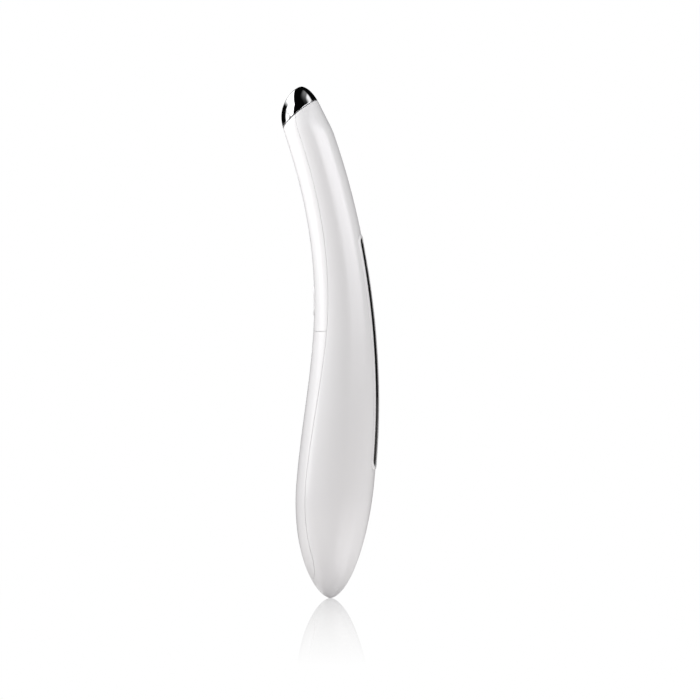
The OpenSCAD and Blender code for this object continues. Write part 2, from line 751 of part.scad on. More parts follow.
module tray_screws() color("silver") {
  for (z = tray_screw_z) translate([0, 0, z]) {
    peg(tray_seat_x - screw_head_h, tray_seat_x, screw_head_d);
    peg(tray_seat_x - screw_head_h / 2, tray_seat_x + tray_screw_l, screw_d);
  }
}

// ---- Leads ----

lead_off = wire_d / 2 + fit / 2;     // a lead's middle above the face that it lies on
solder_y = board_w / 2 - 2 * wire_d;   // where the leads meet the board
solder_l = 5 * wire_d;                 // how far they lie along it
board_top = board_z + board_l;
motor_low = can_low - cap_t;

// From one point to the next, at a share of the way
function way(a, b, share) = a + (b - a) * share;

module battery_leads() color("firebrick") {
  gap = board_z - tray_high;
  face = board_x - lead_off;
  // From the spring's contact, up the groove behind the tray
  wire([[groove_x, groove_y, bay_low + tab_l - wire_d], [groove_x, groove_y, cell_z + cell_l / 2],
    [groove_x, groove_y, tray_high], [way(groove_x, face, 0.4), groove_y, tray_high + gap * 0.5],
    [face, solder_y, board_z - gap * 0.2], [face, solder_y, board_z + solder_l]]);
  // From the nub's contact
  wire([[cell_x - lead_off, 0, tray_high + wire_d], [cell_x - lead_off, -solder_y / 4, tray_high + gap * 0.4],
    [face, -solder_y, board_z - gap * 0.2], [face, -solder_y, board_z + solder_l]]);
}
module motor_leads() color("firebrick") {
  face = board_x - lead_off;
  for (s = [-1, 1]) {
    start = motor_point_at([0, s * motor_d / 4, motor_low - wire_d / 2]);
    foot = [face - wire_d, s * solder_y, board_top];
    wire([start, way(start, foot, 0.5), foot, [face, s * solder_y, board_top - solder_l]]);
  }
}
module heater_leads() color("ivory") {
  pitch = wire_d * 0.75;
  face = board_x + board_t + lead_off;
  for (s = [-1, 1])
    wire([
      [face, s * solder_y, board_top - solder_l],
      [face + wire_d / 2, s * solder_y, board_top - fit],
      motor_point_at([wire_lane, s * (pitch + wire_d), motor_low - wire_d]),
      motor_point_at([wire_lane, s * pitch, can_low + wire_d]),
      motor_point_at([wire_lane, s * pitch, 0]),
      motor_point_at([wire_lane, s * pitch, can_high]),
      head_point_at([wire_d, s * pitch, -2 * skirt_l]),
      head_point_at([wire_d / 2, s * pitch, -skirt_l]),
      head_point_at([wire_d / 2, s * pitch, holder_low - fit])
    ]);
}

back_shell();
front_shell();
battery_cover();
back_strip();
power_button();
massage_head();
head_seal();
head_collar();
thermal_pad();
heater();
heat_sensor();
heater_holder();
motor_can();
motor_cap();
motor_bush();
motor_sleeve();
motor_shaft();
motor_rotor();
swinging_weight();
circuit_board();
controller_chip();
boost_coil();
board_capacitors();
switch_body();
switch_plunger();
board_screws();
battery_tray();
tray_screws();
battery_cell();
positive_contact();
negative_contact();
battery_spring();
battery_leads();
motor_leads();
heater_leads();
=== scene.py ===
# Looks of a heated eye massager wand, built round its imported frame. Scene lengths are in metres.
import math

import bmesh
import bpy
import numpy as np
from mathutils import Matrix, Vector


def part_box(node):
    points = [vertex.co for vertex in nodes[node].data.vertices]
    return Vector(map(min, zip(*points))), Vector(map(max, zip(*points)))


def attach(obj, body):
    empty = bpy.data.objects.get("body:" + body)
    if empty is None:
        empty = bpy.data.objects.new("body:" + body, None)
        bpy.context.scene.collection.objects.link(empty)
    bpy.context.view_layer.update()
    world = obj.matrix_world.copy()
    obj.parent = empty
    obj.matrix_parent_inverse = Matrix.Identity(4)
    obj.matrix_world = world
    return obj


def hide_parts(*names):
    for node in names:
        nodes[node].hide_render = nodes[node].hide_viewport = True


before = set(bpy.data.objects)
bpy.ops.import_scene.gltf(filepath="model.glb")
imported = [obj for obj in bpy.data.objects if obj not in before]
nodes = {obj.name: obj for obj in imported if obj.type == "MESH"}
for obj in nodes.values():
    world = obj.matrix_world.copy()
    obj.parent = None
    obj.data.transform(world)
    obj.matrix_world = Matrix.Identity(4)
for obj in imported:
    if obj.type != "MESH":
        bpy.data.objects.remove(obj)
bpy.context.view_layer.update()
mm = 0.001   # the shapes below are worked out in millimetres

# ---- The body's form: level ellipses on a bent middle line ----

body = {
    "height": 165.0, "tip": 0.05, "wall": 1.6,
    "tailX": 0.3, "straight": 6.0, "bowX": 4.6, "bowZ": 83.5,
    "lean": 12.8, "browDrop": 12.0, "brow": 7.2,
    "bulgeDepth": 25.1, "bulgeWidth": 24.4, "bulgeZ": 40.0, "fade": 51.0,
    "neckDepth": 15.8, "neckWidth": 15.4,
    "tailRound": 38.0, "tailPoint": 0.58, "headRound": 16.0, "headPoint": 0.6,
}
browZ = body["height"] - body["browDrop"]


def spine(z):
    # Half a cosine wave up to the bow, a parabola from there to the brow, then a turn upright
    low = body["bowX"] * (1 - np.cos(np.pi * np.maximum(z - body["straight"], 0)
                                     / (body["bowZ"] - body["straight"]))) / 2
    middle = body["bowX"] - body["lean"] * ((z - body["bowZ"]) / (browZ - body["bowZ"])) ** 2
    past = np.clip(z - browZ, 0, body["brow"])
    high = body["bowX"] - body["lean"] \
        - 2 * body["lean"] / (browZ - body["bowZ"]) * (past - past ** 2 / (2 * body["brow"]))
    return body["tailX"] + np.where(z < body["bowZ"], low, np.where(z < browZ, middle, high))


def halfSize(z, big, small):
    # The bulge thins to the neck as a bell curve, and both ends close as blunt ellipses
    swell = np.exp(-(np.maximum(z - body["bulgeZ"], 0) / body["fade"]) ** 2)
    up = np.clip(z / body["tailRound"], 0, 1)
    down = np.clip((body["height"] - z) / body["headRound"], 0, 1)
    return (small + (big - small) * swell) / 2 \
        * (1 - (1 - up) ** 2) ** body["tailPoint"] * (1 - (1 - down) ** 2) ** body["headPoint"]


def insetHalf(z, big, small, inset):
    # The inset is measured square to the skin, so it counts times the slant of the outline
    low = np.maximum(z - body["tip"], body["tip"] / 2)
    high = np.minimum(z + body["tip"], body["height"] - body["tip"] / 2)
    slope = (halfSize(high, big, small) - halfSize(low, big, small)) / (high - low)
    return halfSize(z, big, small) - inset * np.sqrt(1 + slope ** 2)


def depthAt(z, inset=0.0):
    return insetHalf(z, body["bulgeDepth"], body["neckDepth"], inset)


def widthAt(z, inset=0.0):
    return insetHalf(z, body["bulgeWidth"], body["neckWidth"], inset)


def skin(angle, z, inset=0.0):
    # A point of the ellipse at height z, at an angle that is 0 at the back and pi at the front
    x = spine(z) + depthAt(z, inset) * np.cos(angle)
    return np.stack([x, widthAt(z, inset) * np.sin(angle), z + 0 * x], axis=-1)


def skinX(y, z, side, inset=0.0):
    # The skin's x over a place in the side plane, at the back for side 1 and at the front for -1
    share = np.clip(1 - (y / widthAt(z, inset)) ** 2, 0, 1)
    return spine(z) + side * depthAt(z, inset) * np.sqrt(share)


def levels(low, high, count):
    # Heights that lie closer together towards both ends of the body, as a cosine does
    turn = np.arange(count + 1) / count
    z = body["height"] * (1 - np.cos(np.pi * turn)) / 2
    inside = z[(z > low + body["tip"] / 4) & (z < high - body["tip"] / 4)]
    return np.concatenate([[low], inside, [high]])


# ---- Seams, and the plane of the head's rim ----

seam = {"low": 5.0, "high": 6.2, "foot": 6.0, "footRound": 9.0, "gap": 0.05, "edge": 0.07}
rim = {"tilt": math.radians(40), "drop": 8.9, "shift": 0.5, "gap": 0.2, "edge": 0.22}
buttonZ = sum(v[2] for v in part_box("power_button")) / 2 / mm
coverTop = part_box("battery_cover")[1][2] / mm + 0.06
rimZ = body["height"] - rim["drop"]
rimX = float(spine(np.array(rimZ))) - rim["shift"]


def seamX(z):
    # The seam lies behind the front line by a depth that grows from the bulge to the neck
    rise = np.clip((z - body["bulgeZ"]) / (coverTop - body["bulgeZ"]), 0, 1)
    up = np.clip((z - seam["foot"]) / seam["footRound"], 0, 1)
    depth = (seam["low"] + (seam["high"] - seam["low"]) * rise) * np.sqrt(1 - (1 - up) ** 2)
    return spine(z) - depthAt(z) + depth


def settledAngle(share, z, angle, start, goal):
    # Near the foot the angle to the seam changes fast, so the columns there lie at shares of a
    # steadier angle, from start to goal, and those past the seam are drawn back to it
    climb = np.clip((z - seam["foot"]) / seam["footRound"], 0, 1)
    steady = np.where(climb < 1, np.maximum(start + (goal - start) * climb, angle), angle)
    return np.sign(share) * np.minimum(np.abs(share) * steady, angle)


def backAngle(share, z, inset=0.0, short=0.0):
    # The back shell spans from the seam round the back to the seam, and all round below its foot.
    # Its two sides stay a hair apart above the foot, so that they never share an edge.
    reach = np.clip((seamX(z) + short - spine(z)) / depthAt(z, inset), -1, 1)
    angle = np.where(z > seam["foot"], np.minimum(np.arccos(reach), np.pi - 0.001), np.pi)
    return settledAngle(share, z, angle, np.pi, footAngle)


def frontAngle(share, z, inset=0.0, short=0.0):
    # The front pieces span from the seam round the front to the seam
    reach = np.clip((spine(z) - seamX(z) + seam["gap"] + short) / depthAt(z, inset), -1, 1)
    return np.pi + settledAngle(share, z, np.arccos(reach), np.pi - footAngle, np.pi - footAngle)


footTop = np.array(seam["foot"] + seam["footRound"])
footAngle = float(np.arccos((seamX(footTop) - spine(footTop)) / depthAt(footTop)))


def overRim(points):
    # Distance of points above the slanted plane in the middle of the rim's gap
    return (rimX - points[..., 0]) * math.sin(rim["tilt"]) + (points[..., 2] - rimZ) * math.cos(rim["tilt"])


def meetRim(angleOf, inset, over):
    # Bisection for the height at which each column of the skin reaches the rim's plane, moved by over
    low = np.full(np.broadcast(inset, over).shape, browZ - body["headRound"])
    high = np.full(low.shape, body["height"] - body["tip"])
    for step in range(40):
        z = (low + high) / 2
        past = overRim(skin(angleOf(z), z, inset)) > over
        high = np.where(past, z, high)
        low = np.where(past, low, z)
    return (low + high) / 2


# ---- Meshes ----

def gridFaces(rows, columns, start=0, wrap=False):
    # Quads of a grid that is stored row by row, wound so that row x column points outwards
    j, i = np.meshgrid(np.arange(rows - 1), np.arange(columns if wrap else columns - 1), indexing="ij")
    k = (i + 1) % columns
    low, high = j * columns, (j + 1) * columns
    quads = np.stack([low + i, low + k, high + k, high + i], axis=-1)
    return quads.reshape(-1, 4) + start


def makePiece(name, points, faces, sharp=40, weld=1e-7):
    # One closed mesh object at the origin, its doubled points welded and its faces smooth
    mesh = bpy.data.meshes.new(name)
    mesh.from_pydata((np.asarray(points).reshape(-1, 3) * mm).tolist(), [], [list(f) for f in faces])
    soft = bmesh.new()
    soft.from_mesh(mesh)
    bmesh.ops.remove_doubles(soft, verts=soft.verts, dist=weld)
    bmesh.ops.dissolve_degenerate(soft, edges=soft.edges, dist=weld)
    soft.to_mesh(mesh)
    soft.free()
    mesh.shade_smooth()
    mesh.set_sharp_from_angle(angle=math.radians(sharp))
    piece = bpy.data.objects.new(name, mesh)
    bpy.context.scene.collection.objects.link(piece)
    return piece


def walled(outer, inner, footPole=False, openFrom=0):
    # Outer and inner grids of one size, joined round their border. A foot pole closes both
    # grids at their lowest row, and below the row openFrom the side columns meet each other.
    rows, columns = outer.shape[:2]
    shift = rows * columns
    faces = gridFaces(rows, columns).tolist() + gridFaces(rows, columns, shift)[:, ::-1].tolist()
    number = np.arange(rows * columns).reshape(rows, columns)
    border = [number[openFrom:, -1], number[-1, ::-1], number[openFrom:, 0][::-1]]
    if not footPole:
        border.append(number[0])
    for line in border:
        a, b = line[:-1], line[1:]
        faces += np.stack([b, a, a + shift, b + shift], axis=-1).tolist()
    points = np.concatenate([outer.reshape(-1, 3), inner.reshape(-1, 3)])
    if footPole:
        poles = np.stack([outer[0].mean(axis=0), inner[0].mean(axis=0)])
        last = len(points)
        points = np.concatenate([points, poles])
        a, b = number[0, :-1], number[0, 1:]
        faces += np.stack([b, a, np.full(len(a), last)], axis=-1).tolist()
        faces += np.stack([a + shift, b + shift, np.full(len(a), last + 1)], axis=-1).tolist()
    return points, faces


def ringLoft(rings, closeStart=True, closeEnd=True):
    # Rings of as many points each, joined in turn, with a fan to the middle at either end
    rows, columns = rings.shape[:2]
    points = rings.reshape(-1, 3)
    faces = gridFaces(rows, columns, wrap=True).tolist()
    i = np.arange(columns)
    k = (i + 1) % columns
    if closeStart:
        points = np.concatenate([points, [rings[0].mean(axis=0)]])
        faces += np.stack([k, i, np.full(columns, len(points) - 1)], axis=-1).tolist()
    if closeEnd:
        points = np.concatenate([points, [rings[-1].mean(axis=0)]])
        top = (rows - 1) * columns
        faces += np.stack([top + i, top + k, np.full(columns, len(points) - 1)], axis=-1).tolist()
    return points, faces


def tubeLoft(rings):
    # Rings joined in turn and the last one to the first, as a closed hoop
    rows, columns = rings.shape[:2]
    again = np.concatenate([rings, rings[:1]])
    faces = gridFaces(rows + 1, columns, wrap=True) % (rows * columns)
    return again[:-1].reshape(-1, 3), faces.tolist()


def edgeRound(radius, steps=4):
    # How far back from the edge, and how deep below the skin, a quarter round lies
    turn = np.linspace(0, np.pi / 2, steps + 1)[1:]
    return radius * (1 - np.sin(turn)), radius * (1 - np.cos(turn))


# ---- The three shells ----

shells = {"columns": 100, "rows": 230, "slantFrom": 137.0, "fadeIn": 1.0, "leastCavity": 0.3}


def shareColumns(count, radius):
    # Shares from -1 to 1 across the shell, with the rounded edges' steps added at both sides
    short, deep = edgeRound(radius)
    share = np.concatenate([-np.ones(len(short)), np.linspace(-1, 1, count), np.ones(len(short))])
    shortAll = np.concatenate([short[::-1], np.full(count, radius), short])
    deepAll = np.concatenate([deep[::-1], np.zeros(count), deep])
    return share, shortAll, deepAll


def shellGrids(angleOf, z, count, rimEnd, press=None):
    # Outer and inner skins of a shell between the heights z, up to the rim where rimEnd is set
    share, short, deep = shareColumns(count, seam["edge"])
    endShort, endDeep = edgeRound(rim["edge"])
    rows = len(z) + len(endShort)
    rowDeep = np.concatenate([np.zeros(len(z)), endDeep])[:, None]
    rowShort = np.concatenate([np.full(len(z), rim["edge"]), endShort])[:, None]
    # Below its foot the back shell has no seam, so the rounded edge fades in just above it
    height = np.concatenate([z, np.full(len(endShort), z[-1])])[:, None] + 0 * share
    fadeIn = np.clip((height - seam["foot"]) / shells["fadeIn"], 0, 1)
    inset = deep * fadeIn + rowDeep
    back = short * fadeIn
    if rimEnd:
        top = meetRim(lambda h: angleOf(share, h, inset, back), inset, -rim["gap"] / 2 - rowShort + 0 * back)
        climb = np.clip((height - shells["slantFrom"]) / (z[-1] - shells["slantFrom"]), 0, 1)
        flat = np.minimum(height, shells["slantFrom"])
        height = flat + climb * (top - shells["slantFrom"])
    else:
        height = height - rowShort * (height == z[-1])
    if press is not None:
        plain = skin(angleOf(share, height, inset, back), height, inset)
        inset = inset + press(plain)
    outer = skin(angleOf(share, height, inset, back), height, inset)
    # The cavity starts at the least height where its level ellipse is open
    wall = body["wall"]
    lowest = levels(2.0, seam["foot"], 2000)
    isOpen = np.minimum(depthAt(lowest, wall), widthAt(lowest, wall)) > shells["leastCavity"]
    floor = lowest[np.argmax(isOpen)]
    innerHeight = np.maximum(height, floor)
    if rimEnd:
        topIn = meetRim(lambda h: angleOf(share, h, wall, 0), wall + 0 * inset, -rim["gap"] / 2 + 0 * back)
        innerHeight = np.maximum(flat + climb * (topIn - shells["slantFrom"]), floor)
    inner = skin(angleOf(share, innerHeight, wall, 0.0), innerHeight, wall)
    return outer, inner


strip = {
    "z": 42.5, "length": 73.5, "lowWidth": 5.4, "topWidth": 4.4, "thick": 0.7, "fit": 0.05, "edge": 0.15,
    "frameWidth": 1.1, "proud": 0.3, "recess": 0.78, "dipFrom": 0.15, "dipMargin": 0.35,
    "lip": 0.2, "roll": 0.6, "rollDrop": 0.4, "skirt": 0.05,
}
stripLowR = strip["lowWidth"] / 2
stripTopR = strip["topWidth"] / 2
stripLowZ = strip["z"] + stripLowR
stripTopZ = strip["z"] + strip["length"] - stripTopR


def outsideStrip(points):
    # Distance outside the strip's outline, seen from the back
    y, z = np.abs(points[..., 1]), points[..., 2]
    along = np.clip((z - stripLowZ) / (stripTopZ - stripLowZ), 0, 1)
    radius = stripLowR + (stripTopR - stripLowR) * along
    return np.hypot(y, z - np.clip(z, stripLowZ, stripTopZ)) - radius


def underStrip(points):
    # How deep the skin is pressed in: the whole recess under the strip, nothing past its frame
    reach = strip["frameWidth"] - strip["dipMargin"]
    far = np.clip((outsideStrip(points) - strip["dipFrom"]) / reach, 0, 1)
    depth = strip["recess"] * (1 - far * far * (3 - 2 * far))
    return np.where(points[..., 0] > spine(points[..., 2]), depth, 0)


def footLevels():
    # Heights close together just above the battery cover's foot, where its outline opens fast
    return seam["foot"] + seam["footRound"] * (np.arange(1, 25) / 24) ** 2


def makeBackShell():
    whole = levels(body["tip"], body["height"], shells["rows"])
    z = np.unique(np.concatenate([whole, footLevels(), [seam["foot"]]]))
    outer, inner = shellGrids(backAngle, z, shells["columns"] + 20, True, underStrip)
    openFrom = int(np.searchsorted(z, seam["foot"]))
    return makePiece("rear_housing", *walled(outer, inner, footPole=True, openFrom=openFrom))


print("shells")
backShell = makeBackShell()


def keepInFront(grid, short=0.0):
    # Inner points that would lie behind the seam's plane are drawn forward onto it
    limit = seamX(grid[..., 2]) - seam["gap"] - short
    grid[..., 0] = np.minimum(grid[..., 0], limit)
    return grid


def makeFrontShell():
    z = levels(coverTop + seam["gap"] / 2, body["height"], shells["rows"])
    outer, inner = shellGrids(frontAngle, z, shells["columns"] // 2, True)
    return makePiece("front_housing", *walled(outer, keepInFront(inner)))


def makeBatteryCover():
    top = coverTop - seam["gap"] / 2
    upper = levels(seam["foot"] + seam["footRound"], top, shells["rows"])
    z = np.unique(np.concatenate([footLevels()[1:], upper]))
    outer, inner = shellGrids(frontAngle, z, shells["columns"] // 2, False)
    return makePiece("battery_door", *walled(outer, keepInFront(inner)))


frontShell = makeFrontShell()
batteryCover = makeBatteryCover()

# ---- Head ----

head = {
    "skirt": 4.3, "bore": 3.5, "boreUp": 3.4, "skirtLength": 4.0,
    "columns": 192, "rows": 90, "edge": 0.12, "top": 0.01,
}


def atHead(across, side, up):
    # From the head's own frame, whose up is square to the rim, to the body's
    x = rimX + across * math.cos(rim["tilt"]) - up * math.sin(rim["tilt"])
    z = rimZ + across * math.sin(rim["tilt"]) + up * math.cos(rim["tilt"])
    return np.stack([x, side + 0 * x, z], axis=-1)


def makeHead():
    turn = 2 * np.pi * np.arange(head["columns"]) / head["columns"]
    short, deep = edgeRound(head["edge"])
    inset = np.concatenate([deep[::-1], np.zeros(head["rows"])])[:, None] + 0 * turn
    back = np.concatenate([short[::-1], np.full(head["rows"], head["edge"])])[:, None]
    over = back + rim["gap"] / 2 + 0 * turn
    low = meetRim(lambda h: turn, inset, over)
    climb = np.sin(np.pi / 2 * np.linspace(0, 1, head["rows"])) ** 0.9
    rise = np.concatenate([np.zeros(len(short)), climb])[:, None]
    height = low + rise * (body["height"] - head["top"] - low)
    dome = skin(turn, height, inset)
    # The underside, the skirt and the bore are rings about the head's own axis
    rings = []
    for radius, up in [(head["bore"], head["boreUp"]), (head["bore"], -head["skirtLength"]),
                       (head["skirt"], -head["skirtLength"]), (head["skirt"], rim["gap"] / 2)]:
        rings.append(atHead(radius * np.cos(turn), radius * np.sin(turn), up))
    return makePiece("metal_head", *ringLoft(np.concatenate([np.stack(rings), dome])), sharp=50)


print("head")
metalHead = makeHead()

# ---- Dark strip and its raised frame ----

def stripRing(grow, shrink=1.0, side=110, end=28):
    # The strip's outline as seen from the back, both its radii grown, then shrunk to a share
    along = np.arange(side) / side
    lowTurn = np.pi + np.pi * np.arange(end) / end
    topTurn = np.pi * np.arange(end) / end
    lowR, topR = (stripLowR + grow) * shrink, (stripTopR + grow) * shrink
    y = np.concatenate([lowR * np.cos(lowTurn), lowR + (topR - lowR) * along,
                        topR * np.cos(topTurn), -(topR + (lowR - topR) * along)])
    z = np.concatenate([stripLowZ + lowR * np.sin(lowTurn), stripLowZ + (stripTopZ - stripLowZ) * along,
                        stripTopZ + topR * np.sin(topTurn), stripTopZ - (stripTopZ - stripLowZ) * along])
    return y, z


def onBack(y, z, inset):
    return np.stack([skinX(y, z, 1, inset), y, z], axis=-1)


def makeStrip():
    short, deep = edgeRound(strip["edge"])
    rings = [onBack(*stripRing(0, share), strip["thick"]) for share in np.linspace(0.001, 1, 6)]
    rings += [onBack(*stripRing(-s), d) for s, d in zip(short[::-1], deep[::-1])]
    inner = 1 - strip["edge"] / stripLowR
    rings += [onBack(*stripRing(0, share), 0.0) for share in np.linspace(inner, 0.001, 12)]
    return makePiece("smoked_strip", *ringLoft(np.stack(rings)), sharp=50)


def makeStripFrame():
    # A bead carried round the strip: steep towards the strip, rolling off gently to the skin
    proud, fit, lip, drop = strip["proud"], strip["fit"], strip["lip"], strip["rollDrop"]
    rollFrom = strip["frameWidth"] + strip["skirt"] - strip["roll"]
    turn = np.linspace(0, np.pi / 2, 6)
    inner = [(fit + lip * (1 - math.cos(t)), -proud + lip * (1 - math.sin(t))) for t in turn]
    outer = [(rollFrom + strip["roll"] * math.sin(t), -proud + drop * (1 - math.cos(t))) for t in turn]
    section = [(fit, strip["recess"])] + inner + outer + [(rollFrom + strip["roll"], strip["recess"])]
    rings = np.stack([onBack(*stripRing(grow), inset) for grow, inset in reversed(section)])
    return makePiece("strip_surround", *tubeLoft(rings), sharp=50)


print("strip")
smokedStrip = makeStrip()
stripSurround = makeStripFrame()

# ---- Push button ----

button = {
    "length": 10.0, "width": 5.0, "proud": 0.35, "gap": 0.15, "edge": 0.35,
    "flange": 0.8, "flangeThick": 0.8, "stem": 2.0, "holeBefore": 3.0, "holeBehind": 4.0,
}


def stadium(radius, straight, count=160):
    # An oblong's outline: two half circles, pushed apart along z
    turn = 2 * np.pi * (np.arange(count) + 0.5) / count
    return radius * np.cos(turn), radius * np.sin(turn) + np.sign(np.sin(turn)) * straight


def makeButton():
    radius, straight = button["width"] / 2, (button["length"] - button["width"]) / 2
    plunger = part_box("switch_plunger")[0][0] / mm
    flangeX = float(skinX(0, np.array(buttonZ), -1, body["wall"])) + button["gap"]
    rings = []
    for share in np.linspace(0.001, 1, 14):
        y, z = stadium((radius - button["edge"]) * share, straight * share)
        rings.append(np.stack([skinX(y, z + buttonZ, -1, -button["proud"]), y, z + buttonZ], axis=-1))
    for short, deep in zip(*edgeRound(button["edge"], 6)):
        y, z = stadium(radius - short, straight)
        rings.append(np.stack([skinX(y, z + buttonZ, -1, -button["proud"] + deep), y, z + buttonZ], axis=-1))
    flangeR, stemR = radius + button["flange"], button["stem"] / 2
    behind = flangeX + button["flangeThick"]
    for r, s, x in [(radius, straight, flangeX), (flangeR, straight, flangeX),
                    (flangeR, straight, behind), (stemR, 0, behind), (stemR, 0, plunger)]:
        y, z = stadium(r, s)
        rings.append(np.stack([np.full(len(y), x), y, z + buttonZ], axis=-1))
    points, faces = ringLoft(np.stack(rings))
    return makePiece("push_button", points, faces, sharp=50)


def cutHole(piece):
    # The front housing's hole for the button, an oblong prism along x with the gap all round
    radius, straight = button["width"] / 2 + button["gap"], (button["length"] - button["width"]) / 2
    y, z = stadium(radius, straight)
    middle = float(skinX(0, np.array(buttonZ), -1))
    ends = (middle - button["holeBefore"], middle + button["holeBehind"])
    rings = [np.stack([np.full(len(y), x), y, z + buttonZ], axis=-1) for x in ends]
    cutter = makePiece("hole", *ringLoft(np.stack(rings)))
    cut = piece.modifiers.new("hole", "BOOLEAN")
    cut.operation = "DIFFERENCE"
    cut.solver = "EXACT"
    cut.object = cutter
    bpy.context.view_layer.update()
    whole = bpy.data.meshes.new_from_object(piece.evaluated_get(bpy.context.evaluated_depsgraph_get()))
    piece.modifiers.clear()
    piece.data = whole
    whole.shade_smooth()
    whole.set_sharp_from_angle(angle=math.radians(40))
    bpy.data.objects.remove(cutter)


print("button")
pushButton = makeButton()
cutHole(frontShell)

# ---- Bosses, ribs and tongues inside the shells ----

inside = {
    "tongueThick": 1.0, "tongueHeight": 6.0, "tongueReach": 2.2, "tongueGap": 0.2,
    "doorTongues": [32.0, coverTop - 12.0], "frontTongues": [118.5, 140.5],
    "boss": 4.2, "bossHole": 2.1, "trayBack": 9.1, "boardBack": 3.2,
    "ribInner": 4.15, "ribLow": -3.9, "ribHigh": 1.9, "ribThick": 1.2, "ribClear": 0.05,
    "motorZ": 128.0, "motorTilt": math.radians(13.27), "lane": math.radians(20),
}
motorZ = np.array(inside["motorZ"])


def merged(parts):
    # Points and faces of several closed shapes as those of one mesh
    points, faces = [], []
    for these, own in parts:
        faces += [[i + sum(len(p) for p in points) for i in face] for face in own]
        points.append(np.asarray(these).reshape(-1, 3))
    return np.concatenate(points), faces


def block(low, high):
    y = np.array([low[1], high[1], high[1], low[1]])
    z = np.array([low[2], low[2], high[2], high[2]])
    return ringLoft(np.stack([np.stack([0 * y + x, y, z], axis=-1) for x in (low[0], high[0])]))


def tongues(heights):
    # Straight tongues on both sides, which reach past the seam inside the rear housing
    parts = []
    for z in heights:
        ends = np.array([z - inside["tongueHeight"] / 2, z + inside["tongueHeight"] / 2])
        x = seamX(ends).max()
        share = 1 - ((seamX(ends) - spine(ends)) / depthAt(ends, body["wall"])) ** 2
        y = (widthAt(ends, body["wall"]) * np.sqrt(share)).min() - inside["tongueGap"]
        root = max((spine(ends) - depthAt(ends, body["wall"] / 2)).max(), x - seam["low"] / 2)
        for side in (y - inside["tongueThick"], -y):
            far = (x + inside["tongueReach"], side + inside["tongueThick"], ends[1])
            parts.append(block((root, side, ends[0]), far))
    return parts


def bosses(screws, x):
    # Hollow pegs from the back of a plate, at x, to the housing's wall, one round each screw
    low, high = [np.array(v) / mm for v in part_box(screws)]
    screwHead = (high[1] - low[1]) / 2
    outer, inner = inside["boss"] / 2, inside["bossHole"] / 2
    turn = 2 * np.pi * np.arange(48) / 48
    parts = []
    for z in (low[2] + screwHead, high[2] - screwHead):
        wall = float(skinX(0, np.array(z), 1, body["wall"] / 2))
        rings = [np.stack([0 * turn + at, r * np.cos(turn), z + r * np.sin(turn)], axis=-1)
                 for r, at in [(outer, x), (outer, wall), (inner, wall), (inner, x)]]
        parts.append(tubeLoft(np.stack(rings)))
    return parts


def ribPoint(angle, radius, up):
    # From the motor's own frame, whose up is its shaft, to the body's
    across, tilt, middle = radius * np.cos(angle), inside["motorTilt"], float(spine(motorZ))
    x = middle + across * math.cos(tilt) - up * math.sin(tilt)
    z = inside["motorZ"] + across * math.sin(tilt) + up * math.cos(tilt)
    return np.stack([x, radius * np.sin(angle), z], axis=-1)


def ribReach(angle, up):
    # Bisection for the radius at which a rib meets the middle of the wall
    low, high = np.zeros(len(angle)), np.full(len(angle), 12.0)
    for step in range(30):
        radius = (low + high) / 2
        x, y, z = ribPoint(angle, radius, up).T
        depth, width = depthAt(z, body["wall"] / 2), widthAt(z, body["wall"] / 2)
        past = ((x - spine(z)) / depth) ** 2 + (y / width) ** 2 > 1
        high = np.where(past, radius, high)
        low = np.where(past, low, radius)
    return low


def ribs(first, last):
    # Two plates round the motor's sleeve, over these angles about its shaft
    angle = np.linspace(first, last, 40)
    inner = np.full(len(angle), inside["ribInner"])
    parts = []
    for up in (inside["ribLow"], inside["ribHigh"]):
        top = up + inside["ribThick"]
        edges = [ribPoint(angle, inner, up), ribPoint(angle, ribReach(angle, up), up),
                 ribPoint(angle, ribReach(angle, top), top), ribPoint(angle, inner, top)]
        parts.append(ringLoft(np.stack(edges, axis=1)[::-1]))
    return parts


print("inside")
rearEnd = math.acos(float((seamX(motorZ) - spine(motorZ)) / depthAt(motorZ))) - inside["ribClear"]
frontEnd = rearEnd + 2 * inside["ribClear"]
rearRibs = makePiece("rear_ribs", *merged(
    bosses("tray_screws", inside["trayBack"]) + bosses("board_screws", inside["boardBack"])
    + ribs(inside["lane"], rearEnd) + ribs(-rearEnd, -inside["lane"])))
frontRibs = makePiece("front_ribs", *merged(
    ribs(frontEnd, 2 * np.pi - frontEnd) + tongues(inside["frontTongues"])))
doorTongues = makePiece("door_tongues", *merged(tongues(inside["doorTongues"])))

# ---- Materials ----

class Shade:
    # Wraps a socket, so that an expression such as 1 - mask adds its Math nodes
    def __init__(self, tree, socket=None):
        self.tree = tree
        self.socket = socket

    def add(self, kind, settings=None, inputs=None, out=0):
        # Any node, from its type, its settings and the values or links of its sockets
        node = self.tree.nodes.new(kind)
        for key, value in (settings or {}).items():
            setattr(node, key, value)
        for key, value in (inputs or {}).items():
            if isinstance(value, Shade):
                self.tree.links.new(value.socket, node.inputs[key])
            else:
                node.inputs[key].default_value = value
        return Shade(self.tree, node.outputs[out]) if node.outputs else None

    def maths(self, operation, a, b):
        return self.add("ShaderNodeMath", {"operation": operation}, {0: a, 1: b})

    def __add__(self, other):
        return self.maths("ADD", self, other)

    def __radd__(self, other):
        return self.maths("ADD", other, self)

    def __sub__(self, other):
        return self.maths("SUBTRACT", self, other)

    def __rsub__(self, other):
        return self.maths("SUBTRACT", other, self)

    def __mul__(self, other):
        return self.maths("MULTIPLY", self, other)

    def __rmul__(self, other):
        return self.maths("MULTIPLY", other, self)

    def __truediv__(self, other):
        return self.maths("DIVIDE", self, other)

    def clamp(self, low=0.0, high=1.0):
        return self.add("ShaderNodeClamp", inputs={0: self, 1: low, 2: high})


def rgb(*values):
    return (*values, 1.0)


